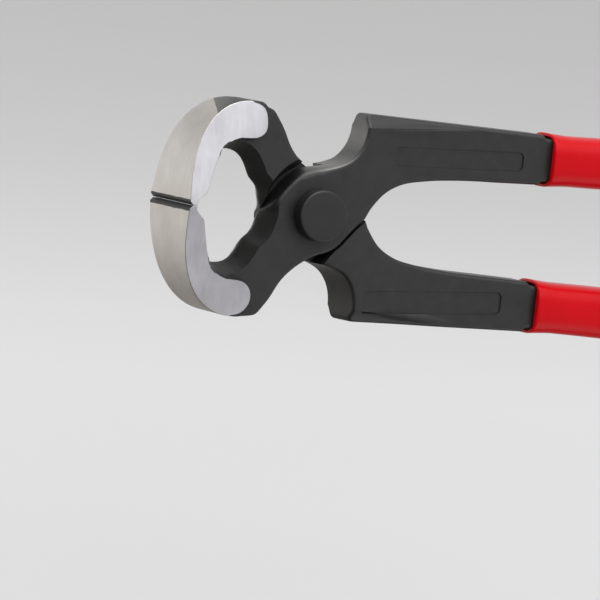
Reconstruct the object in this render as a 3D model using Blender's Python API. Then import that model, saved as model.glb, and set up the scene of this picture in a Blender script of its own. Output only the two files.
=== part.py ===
"""Carpenter's pincers: two like forgings lapped on one rivet, with a plastic sleeve on each tang.

Metres, +Z up. The tool lies flat: the rivet stands on Z through X = Y = 0, the handles run to +X, the jaws
to -X, and Z = 0 is the rivet's lower end face. The levers meet on the middle plane, half way up the rivet.
"""

import math

import bmesh
import bpy
import numpy as np
from mathutils.geometry import delaunay_2d_cdt

# Head, seen along the rivet
JAW_REACH = 0.0355
HEAD_HALF_HEIGHT = 0.0256
CROWN_OFFSET = 0.0185
JAW_FULLNESS = 2.4
BLADE_THICKNESS = 0.0043
CROWN_THICKNESS = 0.0121
MOUTH_REAR = 0.0128
BEVEL_HEIGHT = 0.0032
EDGE_CHAMFER = 0.0007
EDGE_LAND = 0.0006
JAW_GAP = 0.0003

# Head, seen from the side: the ground faces lean in from the cutting edge to the crown
EDGE_LENGTH = 0.0240
SIDE_LEAN = 0.20
LOBE_RADIUS = 0.0042
LOBE_OFFSET = 0.0014
STEP_RUN = 0.0006

# Lap joint and rivet
JOINT_THICKNESS = 0.0130
NECK_THICKNESS = 0.0126
CHEEK_RADIUS = 0.0096
CHEEK_START = -80.0
CHEEK_END = -35.0
SHOULDER_RADIUS = 0.0115
SHOULDER_RAMP = 0.0028
RIVET_HEAD_DIAMETER = 0.0124
RIVET_HEAD_HEIGHT = 0.0035
RIVET_PIN_DIAMETER = 0.0090
RIVET_CHAMFER = 0.0004
RIVET_RIM = ((0.0, 1.0), (0.4, 0.3), (1.2, 0.0))  # in from the side and down from the face, in chamfers
CLOSING_ANGLE = math.radians(0.3)
OPENING_ANGLE = math.radians(24.0)

# Handles and tangs
HANDLE_THICKNESS = 0.0104
HANDLE_HEIGHT = 0.0121
HANDLE_SPREAD = 0.0356
HANDLE_BOW = 0.0010
CROTCH = 0.0129
CROTCH_FOOT = 0.0025
CORNER_OFFSET = 0.0110
CORNER_HEIGHT = 0.0248
CORNER_FILLET = 0.0013
FACET_WIDTH = 0.0034
FACET_END = 0.0480
FACET_SLOPE = 0.90
TANG_HEIGHT = 0.0088
TANG_THICKNESS = 0.0088
TANG_STEP = 0.0008
FORGED_EDGE = 0.0009
GROUND_EDGE = 0.00025
NOTCH_EDGE = 0.0021
THROAT_DRAFT = 0.0024
HEEL_DRAFT = 0.0013
SCALLOP_DRAFT = 0.0012

# Sunk panels on the handle faces
PANEL_DEPTH = 0.0004
PANEL_CORNER = 0.0014
CHEEK_PANEL_START = 0.0190
CHEEK_PANEL_LENGTH = 0.0345
CHEEK_PANEL_HEIGHT = 0.0047
CHEEK_PANEL_SHIFT = -0.0023
CHEEK_PANEL_CLIMB = 0.0014
LAP_PANEL_START = 0.0141
LAP_PANEL_LENGTH = 0.0376
LAP_PANEL_HEIGHT = 0.0055
LAP_PANEL_SHIFT = 0.0020
LAP_PANEL_CLIMB = -0.0023

# Grips
GRIP_START = 0.0595
GRIP_LENGTH = 0.1150
GRIP_HEIGHT = 0.0128
GRIP_LIP_HEIGHT = 0.0131
GRIP_THICKNESS = 0.0150
GRIP_END_WALL = 0.0045
GRIP_WAIST = 0.0003
GRIP_DOME = 0.0070
GRIP_FULLNESS = 3.0
GRIP_MOUTH = ((0.0, 0.0006), (0.0002, 0.0002), (0.0006, 0.0))  # along the grip and in from its skin

# Clearance between pieces that touch on the real tool
FIT = 0.0003

# Free curves of the forging: each knot is a pair of shares of two of the sizes above
# Back from the crown by CROWN_OFFSET, in by HEAD_HALF_HEIGHT
HEEL = ((0.0000, 0.0000), (0.2054, 0.0156), (0.2649, 0.0234), (0.3027, 0.0352), (0.3351, 0.0586),
        (0.4541, 0.1758))
# From below the cheek, by CHEEK_RADIUS
NOTCH = ((-0.7500, -0.6771), (-0.4062, -0.3229), (-0.1875, -0.1667), (0.0000, -0.0625))
# From the crotch to the grip, and up to the handle's inner edge
CROTCH_RISE = ((0.0215, 0.1700), (0.0515, 0.3330), (0.0966, 0.5260), (0.1845, 0.7280), (0.3369, 0.8640),
               (0.5064, 0.9320), (0.7854, 0.9740))
# From the handle's corner, by CORNER_OFFSET, and down towards the cheek
SCALLOP_SIDE = ((-0.0182, -0.3289), (-0.1182, -0.5461))
# From above the cheek, by CHEEK_RADIUS
SCALLOP_FLOOR = ((0.7708, 0.4271), (0.4583, 0.2708), (0.1250, 0.1875), (-0.2708, 0.1042),
                 (-0.6042, -0.0938), (-0.8542, -0.3542), (-1.0625, -0.6250), (-1.2396, -0.9167))
# From the mouth's rear to its front, and out from the middle to its roof
MOUTH = ((0.0109, 0.1778), (0.0380, 0.3259), (0.0978, 0.4444), (0.1739, 0.5407), (0.2337, 0.6963),
         (0.3098, 0.8593), (0.4076, 0.9630), (0.5326, 1.0000), (0.6359, 0.9926), (0.7500, 0.9556),
         (0.8261, 0.8963), (0.8750, 0.7778), (0.9185, 0.6074), (0.9620, 0.4148))
# Into the blade and down the bevel
BEVEL_BEND = (0.4, 0.5)
# Back from the mouth's front by its length, and in from the lobe by its half height
GROUND_START = ((0.1250, 0.4519), (0.1685, 0.2741), (0.2120, 0.2000), (0.2717, 0.1259), (0.3587, 0.0519),
                (0.4565, 0.0074))
LOBE_INSET = 0.0004
LOBE_RUN_OUT = 0.0030

# Lengths over which the forging's thickness and its edges change
NECK_RUN = 0.0080
HANDLE_TAPER_START = 0.0080
HANDLE_TAPER_RUN = 0.0180
TANG_TAPER_RUN = 0.0150
NOTCH_ANGLE = 95.0
NOTCH_SPREAD = 24.0
NOTCH_RUN = 0.0050
EASE_RUN = 0.0030
MOUTH_ROOF_RUN = 0.0012
CORNER_RUN = 0.0012
RAMP_FOOT = 0.0008
RAMP_START = 135.0
RAMP_END = 280.0
RAMP_FADE = 15.0

# Places worked out from the sizes above
JOINT_HALF = JOINT_THICKNESS / 2
HANDLE_HALF = HANDLE_THICKNESS / 2
RIVET_HALF = JOINT_HALF + FIT + RIVET_HEAD_HEIGHT
GRIP_END = GRIP_START + GRIP_LENGTH
TANG_END = GRIP_END - GRIP_END_WALL
MOUTH_HALF_HEIGHT = HEAD_HALF_HEIGHT - CROWN_THICKNESS
MOUTH_FRONT = JAW_REACH - BLADE_THICKNESS
POINT_SPACING = 0.0012
GRID_SPACING = 0.0026
ROUND_SEGMENTS = 48


def clear_scene():
    for old in list(bpy.data.objects):
        bpy.data.objects.remove(old, do_unlink=True)


def make_material(name, colour, roughness, metallic):
    material = bpy.data.materials.new(name)
    material.use_nodes = True
    shader = material.node_tree.nodes["Principled BSDF"]
    shader.inputs["Base Color"].default_value = (*colour, 1.0)
    shader.inputs["Roughness"].default_value = roughness
    shader.inputs["Metallic"].default_value = metallic
    material.diffuse_color = (*colour, 1.0)
    return material


def smooth_line(points, spacing=POINT_SPACING):
    """Points about `spacing` apart on a smooth curve through the given ones."""
    knots = np.array(points, dtype=float)
    chord = np.linalg.norm(np.diff(knots, axis=0), axis=1)
    place = np.concatenate([[0.0], np.cumsum(chord)])
    slope = np.gradient(knots, place, axis=0)
    curve = []
    for i, length in enumerate(chord):
        t = np.linspace(0.0, 1.0, max(2, round(length / spacing) + 1))[:-1, None]
        start = (2 * t**3 - 3 * t**2 + 1) * knots[i] + (t**3 - 2 * t**2 + t) * length * slope[i]
        end = (3 * t**2 - 2 * t**3) * knots[i + 1] + (t**3 - t**2) * length * slope[i + 1]
        curve.append(start + end)
    return np.vstack(curve + [knots[-1:]])


def superellipse_arc(centre_x, reach_x, reach_y, fullness, start, end, count):
    """Points on |x/reach_x|^n + |y/reach_y|^n = 1 about (centre_x, 0), between two parameter angles."""
    angle = np.linspace(start, end, count)
    cos, sin = np.cos(angle), np.sin(angle)
    x = centre_x + reach_x * np.sign(cos) * np.abs(cos) ** (2 / fullness)
    y = reach_y * np.sign(sin) * np.abs(sin) ** (2 / fullness)
    return np.column_stack([x, y])


def circle_arc(radius, start, end, count, centre=(0.0, 0.0)):
    angle = np.radians(np.linspace(start, end, count))
    return np.column_stack([centre[0] + radius * np.cos(angle), centre[1] + radius * np.sin(angle)])


def handle_centre(x):
    """Distance of a handle's centre line from the tool's axis: parallel, with a slight bow under the grip."""
    along = np.clip((x - GRIP_START) / GRIP_LENGTH, 0.0, 1.0)
    return HANDLE_SPREAD / 2 + HANDLE_BOW * np.sin(math.pi * along) ** 2


def jaw_outline():
    """The jaw's outside, from the chamfer at its edge round the crown. The front jaw lies towards -Y."""
    arc = superellipse_arc(-CROWN_OFFSET, -(JAW_REACH - CROWN_OFFSET), -HEAD_HALF_HEIGHT, JAW_FULLNESS,
                           0.0, math.pi / 2, 34)
    corner = -JAW_GAP / 2 - EDGE_CHAMFER
    return np.vstack([[(-JAW_REACH, corner)], arc[arc[:, 1] < corner - POINT_SPACING / 2]])


def heel_outline():
    """From the crown to the jaw's heel, round its corner and down the notch to the cheek."""
    back, fall = np.array(HEEL).T
    knots = np.column_stack([(back - 1) * CROWN_OFFSET, (fall - 1) * HEAD_HALF_HEIGHT])
    under = (np.array(NOTCH) - (0, 1)) * CHEEK_RADIUS
    notch = smooth_line([*knots[4:], *under, circle_arc(CHEEK_RADIUS, CHEEK_START, CHEEK_START, 1)[0]])
    return np.vstack([smooth_line(knots[:3])[1:], knots[3:4], notch[:-1]])


def crotch_outline():
    """From the cheek's arc through the crotch and along the handle's inner edge to the grip."""
    inner = (HANDLE_SPREAD - HANDLE_HEIGHT) / 2
    foot = [(CROTCH - CROTCH_FOOT, -CROTCH_FOOT), (CROTCH, 0.0)]
    rise = np.array(CROTCH_RISE) * (GRIP_START - CROTCH, inner) + (CROTCH, 0.0)
    return smooth_line([circle_arc(CHEEK_RADIUS, CHEEK_END, CHEEK_END, 1)[0], *foot, *rise,
                        (GRIP_START - CORNER_RUN, inner)])[1:]


def tang_half_height(x):
    """Half height of the handle inside the grip: a step at the mouth, then a taper to the tang."""
    shoulder = HANDLE_HEIGHT / 2 - TANG_STEP
    return np.interp(x, [GRIP_START - FIT, GRIP_START + TANG_TAPER_RUN], [shoulder, TANG_HEIGHT / 2])


def tang_outline():
    """Round the tang: it steps down at the grip's mouth and follows the centre line to a round end."""
    near = np.linspace(GRIP_START - FIT, GRIP_START + TANG_TAPER_RUN, 3)
    x = np.concatenate([near, np.linspace(GRIP_START + 2 * TANG_TAPER_RUN, TANG_END - TANG_HEIGHT, 6)])
    lower = np.column_stack([x, handle_centre(x) - tang_half_height(x)])
    upper = np.column_stack([x, handle_centre(x) + tang_half_height(x)])[::-1]
    end_x = TANG_END - TANG_HEIGHT / 2
    end = circle_arc(TANG_HEIGHT / 2, -90, 90, 9, (end_x, float(handle_centre(end_x))))
    return np.vstack([lower, end, upper])


def scallop_outline():
    """From the grip back along the handle's outer edge, round its corner and down to the throat."""
    outer = (HANDLE_SPREAD + HANDLE_HEIGHT) / 2
    centre = (CORNER_OFFSET + CORNER_FILLET, CORNER_HEIGHT - CORNER_FILLET)
    corner = circle_arc(CORNER_FILLET, 88, 176, 5, centre)
    edge = np.linspace((GRIP_START - CORNER_RUN, outer), corner[0] + (CORNER_RUN, 0.0), 9)
    side = np.array(SCALLOP_SIDE) * (CORNER_OFFSET, CORNER_HEIGHT - CHEEK_RADIUS)
    side += (CORNER_OFFSET, CORNER_HEIGHT)
    floor = (np.array(SCALLOP_FLOOR) + (0, 1)) * CHEEK_RADIUS
    hollow = smooth_line([corner[-1] - (0.0, CORNER_RUN), *side, *floor, mouth_knots()[0]])
    return np.vstack([edge, corner, hollow[:-1]])


def mouth_knots():
    """The mouth's knots in the plan, from its rear by the throat round to the blade."""
    along, out = np.array(MOUTH).T
    return np.column_stack([-MOUTH_REAR - along * (MOUTH_FRONT - MOUTH_REAR), -out * MOUTH_HALF_HEIGHT])


def mouth_outline():
    """From the throat round the inside of the mouth and down the blade's bevel to the cutting edge."""
    round_mouth = smooth_line([*mouth_knots(), (-MOUTH_FRONT, -BEVEL_HEIGHT)])
    edge = -JAW_REACH + EDGE_CHAMFER
    across, down = BEVEL_BEND
    bevel = [(-MOUTH_FRONT - across * BLADE_THICKNESS, -down * BEVEL_HEIGHT),
             (edge + EDGE_LAND, -JAW_GAP / 2), (edge, -JAW_GAP / 2)]
    return np.vstack([round_mouth, bevel])


def lever_outline():
    """The front lever's edge seen from above, counter-clockwise, as a closed loop of points."""
    arc = circle_arc(CHEEK_RADIUS, CHEEK_START, CHEEK_END, 8)
    return np.vstack([jaw_outline(), heel_outline(), arc, crotch_outline(), tang_outline(), scallop_outline(),
                      mouth_outline()])


def ground_line(shift=0.0):
    """Where the jaw's ground side face ends: in from the mouth, along the throat and round the lobe."""
    radius = LOBE_RADIUS + shift
    centre_x = -CROWN_OFFSET - LOBE_OFFSET
    centre_y = -HEAD_HALF_HEIGHT + LOBE_RADIUS + LOBE_INSET
    arc = circle_arc(radius, 90, -90, 13, (centre_x, centre_y))
    run_out = (centre_x - LOBE_RUN_OUT - shift, centre_y - radius - LOBE_RUN_OUT)
    start = np.array(GROUND_START) * (MOUTH_FRONT - MOUTH_REAR, MOUTH_HALF_HEIGHT)
    return np.vstack([start + (-MOUTH_FRONT, centre_y + radius), arc, [run_out]])


def distance_to_line(points, line):
    """Distance from each point to a line of straight pieces."""
    best = np.full(len(points), np.inf)
    for a, b in zip(line[:-1], line[1:]):
        along = np.clip(((points - a) @ (b - a)) / ((b - a) @ (b - a)), 0.0, 1.0)
        best = np.minimum(best, np.linalg.norm(points - a - along[:, None] * (b - a), axis=1))
    return best


def inside_loop(points, loop):
    """True for each point inside a closed loop, by counting the edges that a ray along +X crosses."""
    inside = np.zeros(len(points), dtype=bool)
    for a, b in zip(loop, np.roll(loop, -1, axis=0)):
        spans = (a[1] > points[:, 1]) != (b[1] > points[:, 1])
        cross = a[0] + (points[:, 1] - a[1]) / (b[1] - a[1] if b[1] != a[1] else 1.0) * (b[0] - a[0])
        inside ^= spans & (points[:, 0] < cross)
    return inside


def outside_ground(points):
    """0 on the jaw's ground side face, 1 on the forged face, and between on the step that divides them."""
    line = ground_line()
    far = 2 * JAW_REACH
    region = np.vstack([line, [(-far, line[-1][1]), (-far, far), (line[0][0], far)]])
    reach = np.where(inside_loop(points, region), 0.0, distance_to_line(points, line))
    return np.clip(reach / STEP_RUN, 0.0, 1.0)


def ease(value):
    t = np.clip(value, 0.0, 1.0)
    return t * t * (3 - 2 * t)


def facet_line():
    """Upper edge of the long facet on a handle's face, from the corner to where it runs out."""
    outer = (HANDLE_SPREAD + HANDLE_HEIGHT) / 2
    return np.array([(CORNER_OFFSET - 0.0030, CORNER_HEIGHT - FACET_WIDTH), (FACET_END, outer + 0.0004)])


def half_thickness(points):
    """Half of the lever's thickness at each point of its plan."""
    x, y = points[:, 0], points[:, 1]
    radius = np.hypot(x, y)
    neck = ease((radius - CHEEK_RADIUS) / NECK_RUN) * (x < 0) * (NECK_THICKNESS - JOINT_THICKNESS) / 2
    handle = ease((x - HANDLE_TAPER_START) / HANDLE_TAPER_RUN) * (JOINT_HALF - HANDLE_HALF)
    tang = np.clip((x - GRIP_START) / TANG_TAPER_RUN, 0.0, 1.0) * (HANDLE_THICKNESS - TANG_THICKNESS) / 2
    start, end = facet_line()
    normal = np.array([start[1] - end[1], end[0] - start[0]]) / np.linalg.norm(end - start)
    beyond = np.clip((points - start) @ normal, 0.0, None) * (x > 0) * (x < GRIP_START)
    forged = JOINT_HALF + neck - handle - tang - FACET_SLOPE * beyond
    ground = EDGE_LENGTH / 2 - SIDE_LEAN * np.abs(y)
    share = outside_ground(points)
    return (1 - share) * np.maximum(ground, forged) + share * forged


def edge_softness(points):
    """Width of the rounding along the lever's edge: crisp where ground, wide at the notch and the throat."""
    x, y = points[:, 0], points[:, 1]
    share = outside_ground(points)
    radius = np.hypot(x, y)
    angle = np.degrees(np.arctan2(y, x))
    near = np.clip(1.0 - (radius - CHEEK_RADIUS) / NOTCH_RUN, 0.0, 1.0)
    notch = np.exp(-(((angle - NOTCH_ANGLE) / NOTCH_SPREAD) ** 2)) * near
    width = FORGED_EDGE + notch * (NOTCH_EDGE - FORGED_EDGE)
    width += throat_share(points) * (THROAT_DRAFT - FORGED_EDGE)
    return GROUND_EDGE + share * (width - GROUND_EDGE)


def throat_share(points):
    """1 along the mouth's rear wall, which slopes from the middle plane to the faces, and 0 elsewhere."""
    x, y = points[:, 0], points[:, 1]
    along = ease((EASE_RUN - MOUTH_REAR - x) / EASE_RUN) * ease((x + MOUTH_FRONT - EASE_RUN) / EASE_RUN)
    return along * ease(1.0 + (y + MOUTH_HALF_HEIGHT) / MOUTH_ROOF_RUN) * ease(1.0 - (y - FIT) / EASE_RUN)


def forge_draft(verts):
    """Draws in the heel, the notch and the scallop on the lap side, where the forging is narrower."""
    x, y, z = verts[:, 0], verts[:, 1], verts[:, 2]
    lap_side = ease(-z / HANDLE_HALF)
    heel = ease((x + CROWN_OFFSET) / EASE_RUN - 0.5) * ease((-y - CHEEK_RADIUS) / EASE_RUN - 0.5) * (x < 0)
    scallop = ease((y - CHEEK_RADIUS) / EASE_RUN - 0.3) * ease(x / EASE_RUN) * ease(2 - x / CORNER_OFFSET)
    inward = HEEL_DRAFT * heel / math.sqrt(2)
    pull = np.column_stack([SCALLOP_DRAFT * scallop - inward, inward, np.zeros(len(x))])
    return verts + lap_side[:, None] * pull


def outward_normals(loop):
    """Mitred outward directions at the corners of a counter-clockwise loop."""
    ahead = np.roll(loop, -1, axis=0) - loop
    ahead /= np.linalg.norm(ahead, axis=1)[:, None]
    side = np.column_stack([ahead[:, 1], -ahead[:, 0]])
    before = np.roll(side, 1, axis=0)
    total = side + before
    return total / np.maximum(1.0 + (side * before).sum(axis=1), 0.4)[:, None]


def triangulate_plan(loop, lines, inner_points):
    """Triangles that fill a loop, with the given lines as edges and the given points as corners."""
    points = [tuple(p) for p in loop * 1000]
    edges = []
    for line in lines:
        first = len(points)
        points += [tuple(p) for p in line * 1000]
        edges += [(first + i, first + i + 1) for i in range(len(line) - 1)]
    points += [tuple(p) for p in inner_points * 1000]
    result = delaunay_2d_cdt(points, edges, [list(range(len(loop)))], 1, 1e-5)
    return np.array([tuple(p) for p in result[0]]) / 1000, result[2]


def boundary_order(faces):
    """The outer edge of a set of counter-clockwise faces, as a closed chain of corner numbers."""
    following = {}
    directed = {(a, b) for face in faces for a, b in zip(face, [*face[1:], face[0]])}
    for a, b in directed:
        if (b, a) not in directed:
            following[a] = b
    chain = [next(iter(following))]
    while following[chain[-1]] != chain[0]:
        chain.append(following[chain[-1]])
    return chain


def plan_points():
    """Points inside the plan that carry the curved faces of the joint, the neck and the jaw."""
    taper_end = HANDLE_TAPER_START + HANDLE_TAPER_RUN
    across = np.arange(GRID_SPACING - JAW_REACH, taper_end + GRID_SPACING, GRID_SPACING)
    up = np.arange(GRID_SPACING / 2 - HEAD_HALF_HEIGHT, CORNER_HEIGHT, GRID_SPACING)
    grid = np.stack(np.meshgrid(across, up), axis=-1).reshape(-1, 2)
    outline = lever_outline()
    closed = np.vstack([outline, outline[:1]])
    keep = inside_loop(grid, outline) & (distance_to_line(grid, closed) > THROAT_DRAFT + FIT)
    keep &= distance_to_line(grid, ground_line(STEP_RUN / 2)) > STEP_RUN
    keep &= distance_to_line(grid, facet_line()) > STEP_RUN
    return grid[keep]


def plate_mesh(name, loop, softness, slope, height, lines, inner_points, warp, rings=3):
    """A solid over a plan: two faces at plus and minus `height`, and walls between.

    The edges are rounded over by `softness`. Where `slope` is 1 they slope down to the middle plane instead.
    """
    inset = loop - outward_normals(loop) * softness(loop)[:, None]
    plan, faces = triangulate_plan(inset, lines, inner_points)
    chain = boundary_order(faces)
    rim = plan[chain]
    nearest = np.argmin(np.linalg.norm(rim[:, None] - inset[None], axis=2), axis=1)
    width = softness(loop)[nearest]
    sloped = slope(loop)[nearest]
    outward = outward_normals(rim)
    top_z = height(plan)
    verts = [np.column_stack([plan, top_z]), np.column_stack([plan, -top_z])]
    turns = np.linspace(0.0, math.pi / 2, rings + 1)[1:]
    for sign, order in ((1, turns), (-1, turns[::-1])):
        for turn in order:
            share = 2 * turn / math.pi
            reach = (1 - sloped) * math.sin(turn) + sloped * share
            drop = (1 - sloped) * (1 - math.cos(turn)) * width + sloped * share * (top_z[chain] - FIT)
            ring = rim + outward * (width * reach)[:, None]
            verts.append(np.column_stack([ring, sign * (top_z[chain] - drop)]))
    count, edge = len(plan), len(chain)
    levels = [list(chain)]
    levels += [[2 * count + k * edge + i for i in range(edge)] for k in range(2 * rings)]
    levels.append([count + c for c in chain])
    polygons = [tuple(face) for face in faces]
    polygons += [tuple(count + c for c in reversed(face)) for face in faces]
    for upper, lower in zip(levels[:-1], levels[1:]):
        for i in range(edge):
            j = (i + 1) % edge
            polygons.append((upper[i], lower[i], lower[j], upper[j]))
    mesh = bpy.data.meshes.new(name)
    mesh.from_pydata(warp(np.vstack(verts)).tolist(), [], polygons)
    mesh.validate()
    return mesh


def lever_blank():
    """The forging before its lap, bore and panels are cut."""
    across = [np.array([(x, 0.0), (x, HANDLE_SPREAD)]) for x in (GRIP_START, GRIP_START + TANG_TAPER_RUN)]
    lines = [ground_line(), ground_line(STEP_RUN), facet_line(), *across]
    return plate_mesh("lever_blank", lever_outline(), edge_softness, throat_share, half_thickness, lines,
                      plan_points(), forge_draft)


def exit_radius(outline, angles):
    """Distance from the pivot to the outline's first crossing in each direction."""
    a, b = outline, np.roll(outline, -1, axis=0)
    radii = []
    for angle in angles:
        direction = np.array([math.cos(angle), math.sin(angle)])
        side_a = a @ np.array([-direction[1], direction[0]])
        side_b = b @ np.array([-direction[1], direction[0]])
        crossing = side_a * side_b <= 0
        share = side_a[crossing] / (side_a[crossing] - side_b[crossing] + 1e-12)
        along = (a[crossing] + share[:, None] * (b - a)[crossing]) @ direction
        radii.append(along[along > 0].min())
    return np.array(radii)


def lap_radii(angles):
    """Radius to which a lever is cut away, so that the other's cheek turns in it from closed to open."""
    other = lever_outline() * (1, -1)
    step = math.radians(1.0)
    sweep = np.arange(-CLOSING_ANGLE - step, OPENING_ANGLE + 2 * step, step)
    swept = np.max([exit_radius(other, angles + turn) for turn in sweep], axis=0)
    return np.minimum(swept + FIT, SHOULDER_RADIUS + SHOULDER_RAMP + POINT_SPACING)


def lap_cutter():
    """What is milled from the lower half: straight walls by the handle, a ramp up to the jaw."""
    angles = np.radians(np.arange(0.0, 360.0, 2.5))
    wall = lap_radii(angles)
    degrees = np.degrees(angles)
    jaw_side = ease((degrees - RAMP_START) / RAMP_FADE) * ease((RAMP_END - degrees) / RAMP_FADE)
    foot = np.maximum(wall, SHOULDER_RADIUS * (jaw_side > 0))
    top = np.maximum(foot, (SHOULDER_RADIUS + SHOULDER_RAMP) * jaw_side)
    depth = EDGE_LENGTH
    rings = []
    for radius, z in ((foot, FIT / 2), (foot, -RAMP_FOOT), (top, -NECK_THICKNESS / 2), (top, -depth)):
        ring = radius[:, None] * np.column_stack([np.cos(angles), np.sin(angles)])
        rings.append(np.column_stack([ring, np.full(len(angles), z)]))
    count = len(angles)
    verts = np.vstack([*rings, [(0, 0, FIT / 2), (0, 0, -depth)]])
    faces = []
    for i in range(count):
        j = (i + 1) % count
        for k in range(len(rings) - 1):
            faces.append((k * count + i, (k + 1) * count + i, (k + 1) * count + j, k * count + j))
        faces.append((i, j, len(rings) * count))
        faces.append(((len(rings) - 1) * count + j, (len(rings) - 1) * count + i, len(rings) * count + 1))
    mesh = bpy.data.meshes.new("lap_cutter")
    mesh.from_pydata(verts.tolist(), [], faces)
    return mesh


def bore_cutter():
    mesh = bpy.data.meshes.new("bore_cutter")
    bm = bmesh.new()
    radius = RIVET_PIN_DIAMETER / 2 + FIT
    bmesh.ops.create_cone(bm, cap_ends=True, segments=ROUND_SEGMENTS, radius1=radius, radius2=radius,
                          depth=2 * EDGE_LENGTH)
    bm.to_mesh(mesh)
    bm.free()
    return mesh


def slot_loop(length, height, corner, count=7):
    """A rectangle with rounded corners, centred, counter-clockwise."""
    x, y = length / 2 - corner, height / 2 - corner
    places = ((x, y, 0), (-x, y, 90), (-x, -y, 180), (x, -y, 270))
    return np.vstack([circle_arc(corner, turn, turn + 90, count, (cx, cy)) for cx, cy, turn in places])


def panel_cutter(name, start, length, height, side):
    """A sunk panel's cutter: its floor lies PANEL_DEPTH below the handle's face, whose slope it follows.

    `start` is the middle of the panel's end by the joint and the distance that it climbs on its way out.
    """
    start_x, start_y, climb = start
    loop = slot_loop(length, height, PANEL_CORNER)
    along = 0.5 + loop[:, 0] / length
    loop = np.column_stack([start_x + along * length, start_y + loop[:, 1] + along * climb])
    stations = np.arange(start_x, 2 * CORNER_OFFSET, EASE_RUN)
    across = [np.array([(x, 0.0), (x, CORNER_HEIGHT)]) for x in stations]
    plan, faces = triangulate_plan(loop, [*across, facet_line()], np.empty((0, 2)))
    chain = boundary_order(faces)
    count = len(plan)
    floor = half_thickness(plan) - PANEL_DEPTH
    verts = np.vstack([np.column_stack([plan, side * floor]),
                       np.column_stack([plan, np.full(count, side * JOINT_THICKNESS)])])
    polygons = [tuple(reversed(face)) for face in faces]
    polygons += [tuple(count + c for c in face) for face in faces]
    for i, a in enumerate(chain):
        b = chain[(i + 1) % len(chain)]
        polygons.append((a, b, count + b, count + a))
    if side < 0:
        polygons = [tuple(reversed(polygon)) for polygon in polygons]
    mesh = bpy.data.meshes.new(name)
    mesh.from_pydata(verts.tolist(), [], polygons)
    return mesh


def add_object(name, mesh, material=None, location=(0, 0, RIVET_HALF), turn=0.0):
    obj = bpy.data.objects.new(name, mesh)
    bpy.context.collection.objects.link(obj)
    obj.location = location
    obj.rotation_euler = (turn, 0.0, 0.0)
    if material is not None:
        obj.data.materials.append(material)
    return obj


def cut(target, cutter_mesh):
    """Take a cutter's shape away from the target, which carries the cutter along as its child."""
    cutter = bpy.data.objects.new(target.name + "_" + cutter_mesh.name, cutter_mesh)
    bpy.context.collection.objects.link(cutter)
    cutter.parent = target
    cutter.hide_render = True
    cutter.display_type = "WIRE"
    modifier = target.modifiers.new(cutter_mesh.name, "BOOLEAN")
    modifier.operation = "DIFFERENCE"
    modifier.solver = "EXACT"
    modifier.object = cutter


def make_lever(name, blank, cutters, turn):
    lever = add_object(name, blank, turn=turn)
    for cutter in cutters:
        cut(lever, cutter)
    return lever


def turned_mesh(name, profile, segments=ROUND_SEGMENTS):
    """A solid turned about Z from (radius, z) pairs that run from its lower end to its upper one."""
    bm = bmesh.new()
    rings = []
    for radius, z in profile:
        angles = np.linspace(0.0, 2 * math.pi, segments, endpoint=False)
        rings.append([bm.verts.new((radius * math.cos(a), radius * math.sin(a), z)) for a in angles])
    bm.faces.new(rings[0][::-1])
    bm.faces.new(rings[-1])
    for lower, upper in zip(rings[:-1], rings[1:]):
        for i in range(segments):
            j = (i + 1) % segments
            bm.faces.new((lower[i], lower[j], upper[j], upper[i]))
    mesh = bpy.data.meshes.new(name)
    bm.to_mesh(mesh)
    bm.free()
    return mesh


def make_rivet(material):
    """A pin with a low round head on each side, its rims broken by a chamfer."""
    head, pin = RIVET_HEAD_DIAMETER / 2, RIVET_PIN_DIAMETER / 2
    under = JOINT_HALF + FIT
    rim = [(head - across * RIVET_CHAMFER, RIVET_HALF - down * RIVET_CHAMFER) for across, down in RIVET_RIM]
    upper = [(pin, under), (head, under), *rim]
    lower = [(radius, -z) for radius, z in reversed(upper)]
    rivet = add_object("rivet", turned_mesh("rivet", lower + upper), material)
    rivet.data.shade_smooth()
    rivet.data.set_sharp_from_angle(angle=math.radians(35))
    return rivet


def sleeve_section(x, half_height, half_thickness_here, count=32):
    """One ring of a grip: a rounded oblong square to X, centred on the handle's centre line."""
    loop = superellipse_arc(0.0, half_height, half_thickness_here, GRIP_FULLNESS, 0.0, 2 * math.pi, count + 1)
    return np.column_stack([np.full(count, x), handle_centre(x) + loop[:-1, 0], loop[:-1, 1]])


def lofted_mesh(name, sections):
    """A closed solid through like rings of points, flat at both ends."""
    count = len(sections[0])
    faces = []
    for k in range(len(sections) - 1):
        for i in range(count):
            j = (i + 1) % count
            faces.append((k * count + i, k * count + j, (k + 1) * count + j, (k + 1) * count + i))
    faces.append(tuple(range(count))[::-1])
    faces.append(tuple((len(sections) - 1) * count + i for i in range(count)))
    mesh = bpy.data.meshes.new(name)
    mesh.from_pydata(np.vstack(sections).tolist(), [], faces)
    bm = bmesh.new()
    bm.from_mesh(mesh)
    bmesh.ops.recalc_face_normals(bm, faces=bm.faces)
    bm.to_mesh(mesh)
    bm.free()
    return mesh


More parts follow.
